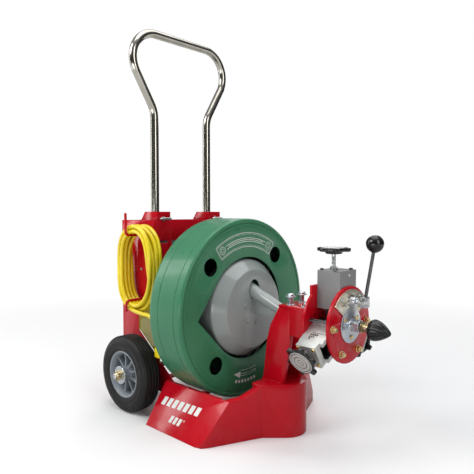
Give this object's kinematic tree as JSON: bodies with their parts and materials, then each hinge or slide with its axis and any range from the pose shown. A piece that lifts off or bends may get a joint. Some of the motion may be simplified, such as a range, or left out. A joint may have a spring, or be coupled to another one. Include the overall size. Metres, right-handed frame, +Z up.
{
  "type": "drain cleaning drum machine",
  "caption": "Wheeled drum machine for clearing drains: belt-driven cable drum, feeder with star knobs and lever, telescoping handle, hung cord.",
  "frame": {"origin": "centre of the machine on the floor", "axes": "+X the way the cable leaves, +Y to the left of the machine, +Z up"},
  "size_m": [0.9839, 0.6, 1.295],
  "materials": {
    "red_paint": "gloss red powder coat",
    "drum_green": "satin green enamel",
    "dome_grey": "gloss grey enamel",
    "feeder_grey": "satin grey paint on a machined block",
    "housing_silver": "bead-blasted aluminium",
    "steel": "bright zinc or turned steel",
    "chrome": "polished chrome tube",
    "yellow_zinc": "yellow passivated zinc",
    "guard_yellow": "dark yellow painted expanded metal",
    "tyre_black": "ribbed black rubber",
    "hub_grey": "blue-grey paint",
    "motor_dark": "dark textured paint",
    "black_plastic": "black moulded phenolic",
    "belt_rubber": "black belt",
    "cable_steel": "oiled wound steel wire",
    "coupler_brass": "dull oiled brass",
    "cord_yellow": "yellow cord jacket"
  },
  "bodies": {
    "frame": {"base_shell": "red_paint", "base_rails": "red_paint", "front_post": "red_paint", "post_bracket": "red_paint", "upright_right": "red_paint", "upright_left": "red_paint", "cross_plates": "red_paint", "handle_sockets": "red_paint", "cord_hooks": "red_paint", "mesh_guards": "guard_yellow", "axle": "steel", "axle_nuts": "yellow_zinc", "motor_body": "motor_dark", "motor_mount": "red_paint", "drive_belt": "belt_rubber", "switch_box": "motor_dark", "bearing_block": "motor_dark", "rear_plate": "red_paint", "front_plate": "red_paint", "plate_studs": "yellow_zinc", "nozzle": "steel", "housing_top": "feeder_grey", "housings_low": "housing_silver", "housing_caps": "steel", "cord_tube": "cord_yellow", "cord_coil": "cord_yellow", "cord_plug": "cord_yellow"},
    "wheel_right": {"tyre_right": "tyre_black", "hub_right": "hub_grey"},
    "wheel_left": {"tyre_left": "tyre_black", "hub_left": "hub_grey"},
    "drum": {"drum_shell": "drum_green", "drum_pulley": "motor_dark", "cable_pack": "cable_steel"},
    "distributor": {"dome": "dome_grey", "guide_tube": "dome_grey", "tube_bolts": "steel"},
    "cable_end": {"cable": "cable_steel", "coupler": "coupler_brass", "bulb_head": "black_plastic"},
    "motor_drive": {"motor_pulley": "motor_dark"},
    "switch": {"switch_lever": "steel"},
    "handle_body": {"handle": "chrome"},
    "pin_right": {"latch_pin_right": "steel"},
    "pin_left": {"latch_pin_left": "steel"},
    "feed_lever": {"lever_yoke": "yellow_zinc", "lever_rod": "steel", "lever_ball": "black_plastic"},
    "knob_top": {"knob_top": "black_plastic", "screw_top": "steel"},
    "carrier_top": {"carrier_top": "motor_dark"},
    "roller_top": {"roller_top": "steel"},
    "knob_right": {"knob_right": "black_plastic", "screw_right": "steel"},
    "carrier_right": {"carrier_right": "motor_dark"},
    "roller_right": {"roller_right": "steel"},
    "knob_left": {"knob_left": "black_plastic", "screw_left": "steel"},
    "carrier_left": {"carrier_left": "motor_dark"},
    "roller_left": {"roller_left": "steel"}
  },
  "joints": [
    {"name": "wheel_right_spin", "type": "hinge", "parent": "frame", "child": "wheel_right", "pos_m": [-0.332, -0.236, 0.127], "axis": [0, 1, 0], "continuous": true},
    {"name": "wheel_left_spin", "type": "hinge", "parent": "frame", "child": "wheel_left", "pos_m": [-0.332, 0.236, 0.127], "axis": [0, 1, 0], "continuous": true},
    {"name": "drum_spin", "type": "hinge", "parent": "frame", "child": "drum", "pos_m": [-0.085, 0, 0.358], "axis": [1, 0, 0], "continuous": true},
    {"name": "distributor_spin", "type": "hinge", "parent": "drum", "child": "distributor", "pos_m": [0.008, 0, 0.358], "axis": [1, 0, 0], "continuous": true},
    {"name": "cable_feed", "type": "slide", "parent": "distributor", "child": "cable_end", "axis": [1, 0, 0], "range_m": [0, 0.1]},
    {"name": "motor_spin", "type": "hinge", "parent": "frame", "child": "motor_drive", "pos_m": [-0.18, 0, 0.5], "axis": [1, 0, 0], "continuous": true},
    {"name": "switch_turn", "type": "hinge", "parent": "frame", "child": "switch", "pos_m": [-0.476, 0.025, 0.612], "axis": [1, 0, 0], "range_deg": [-45, 45]},
    {"name": "handle_slide", "type": "slide", "parent": "frame", "child": "handle_body", "axis": [0, 0, 1], "range_m": [-0.3, 0]},
    {"name": "pin_right_pull", "type": "slide", "parent": "frame", "child": "pin_right", "axis": [1, 0, 0], "range_m": [0, 0.012], "stiffness_N_per_m": 400, "springref_m": -0.004},
    {"name": "pin_left_pull", "type": "slide", "parent": "frame", "child": "pin_left", "axis": [1, 0, 0], "range_m": [0, 0.012], "stiffness_N_per_m": 400, "springref_m": -0.004},
    {"name": "feed_lever_turn", "type": "hinge", "parent": "frame", "child": "feed_lever", "pos_m": [0.372, 0, 0.358], "axis": [1, 0, 0], "range_deg": [-18, 18]},
    {"name": "knob_top_turn", "type": "hinge", "parent": "frame", "child": "knob_top", "pos_m": [0.3165, 0, 0.548], "axis": [0, 0, 1], "range_deg": [0, 360]},
    {"name": "carrier_top_lift", "type": "slide", "parent": "frame", "child": "carrier_top", "axis": [0, 0, 1], "range_m": [0, 0.005]},
    {"name": "roller_top_spin", "type": "hinge", "parent": "carrier_top", "child": "roller_top", "pos_m": [0.325, 0, 0.3835], "axis": [0.9848, 0.1736, 0], "continuous": true},
    {"name": "knob_right_turn", "type": "hinge", "parent": "frame", "child": "knob_right", "pos_m": [0.313, -0.13423, 0.2805], "axis": [0, -0.866, -0.5], "range_deg": [0, 360]},
    {"name": "carrier_right_lift", "type": "slide", "parent": "frame", "child": "carrier_right", "axis": [0, -0.866, -0.5], "range_m": [0, 0.005]},
    {"name": "roller_right_spin", "type": "hinge", "parent": "carrier_right", "child": "roller_right", "pos_m": [0.325, -0.02208, 0.34525], "axis": [0.9848, -0.0868, 0.1504], "continuous": true},
    {"name": "knob_left_turn", "type": "hinge", "parent": "frame", "child": "knob_left", "pos_m": [0.313, 0.13423, 0.2805], "axis": [0, 0.866, -0.5], "range_deg": [0, 360]},
    {"name": "carrier_left_lift", "type": "slide", "parent": "frame", "child": "carrier_left", "axis": [0, 0.866, -0.5], "range_m": [0, 0.005]},
    {"name": "roller_left_spin", "type": "hinge", "parent": "carrier_left", "child": "roller_left", "pos_m": [0.325, 0.02208, 0.34525], "axis": [0.9848, -0.0868, -0.1504], "continuous": true}
  ],
  "couplings": [
    {"joint": "motor_spin", "follows": "drum_spin", "ratio": 3.8},
    {"joint": "knob_top_turn", "follows": "carrier_top_lift", "rad_per_m": 1256.6},
    {"joint": "roller_top_spin", "follows": "drum_spin", "ratio": -0.4634},
    {"joint": "knob_right_turn", "follows": "carrier_right_lift", "rad_per_m": 1256.6},
    {"joint": "roller_right_spin", "follows": "drum_spin", "ratio": -0.4634},
    {"joint": "knob_left_turn", "follows": "carrier_left_lift", "rad_per_m": 1256.6},
    {"joint": "roller_left_spin", "follows": "drum_spin", "ratio": -0.4634}
  ]
}
